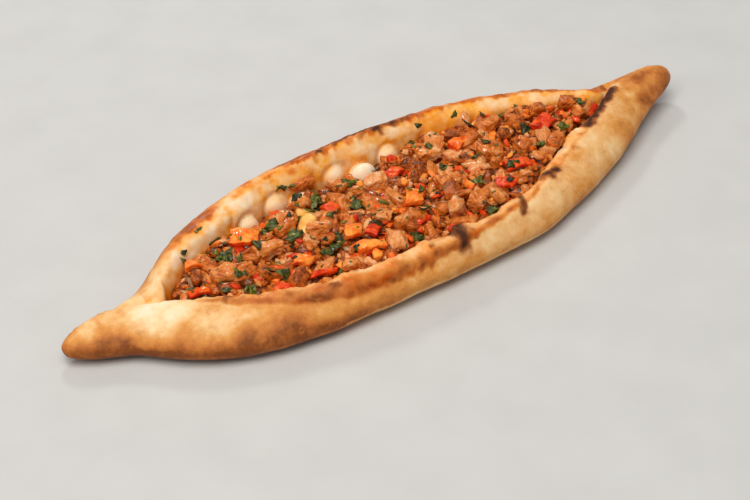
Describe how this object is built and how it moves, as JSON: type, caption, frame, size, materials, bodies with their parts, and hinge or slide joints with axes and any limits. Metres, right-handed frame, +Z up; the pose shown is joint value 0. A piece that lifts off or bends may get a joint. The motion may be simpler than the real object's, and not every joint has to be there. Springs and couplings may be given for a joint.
{
  "type": "turkish pide",
  "caption": "Boat-shaped baked flatbread with rolled edges and a tapered handle at each end, filled with diced meat, red pepper and chopped parsley.",
  "frame": {"origin": "middle of the bounding box in plan, on the flat underside that the pide rests on", "axes": "+X along the boat towards the raised handle, +Z up, -Y towards the wall whose edge laps over the other at both ends"},
  "size_m": [0.4574, 0.1374, 0.032],
  "materials": {
    "crust": "baked wheat dough: cream to golden, satin where oiled, dark char spots along the crests",
    "filling": "oily chopped meat, tomato and pepper mixed with bits of parsley",
    "meat": "diced roast meat, brown, moist",
    "pepper": "cooked red and orange pepper and tomato, glossy",
    "parsley": "wilted chopped parsley, dark green, oily"
  },
  "bodies": {
    "root": {"crust": "crust", "filling": "filling", "meat_01": "meat", "meat_02": "meat", "meat_03": "meat", "meat_04": "meat", "meat_05": "meat", "meat_06": "meat", "meat_07": "meat", "meat_08": "meat", "meat_09": "meat", "meat_10": "meat", "meat_11": "meat", "meat_12": "meat", "meat_13": "meat", "meat_14": "meat", "meat_15": "meat", "meat_16": "meat", "meat_17": "meat", "meat_18": "meat", "parsley_01": "parsley", "parsley_02": "parsley", "parsley_03": "parsley", "parsley_04": "parsley", "parsley_05": "parsley", "parsley_06": "parsley", "parsley_07": "parsley", "parsley_08": "parsley", "parsley_09": "parsley", "parsley_10": "parsley", "parsley_11": "parsley", "parsley_12": "parsley", "parsley_13": "parsley", "parsley_14": "parsley", "pepper_01": "pepper", "pepper_02": "pepper", "pepper_03": "pepper", "pepper_04": "pepper", "pepper_05": "pepper", "pepper_06": "pepper", "pepper_07": "pepper", "pepper_08": "pepper", "pepper_09": "pepper", "pepper_10": "pepper", "pepper_11": "pepper", "pepper_12": "pepper", "pepper_13": "pepper", "pepper_14": "pepper", "pepper_15": "pepper", "pepper_16": "pepper", "pepper_17": "pepper"}
  },
  "joints": []
}
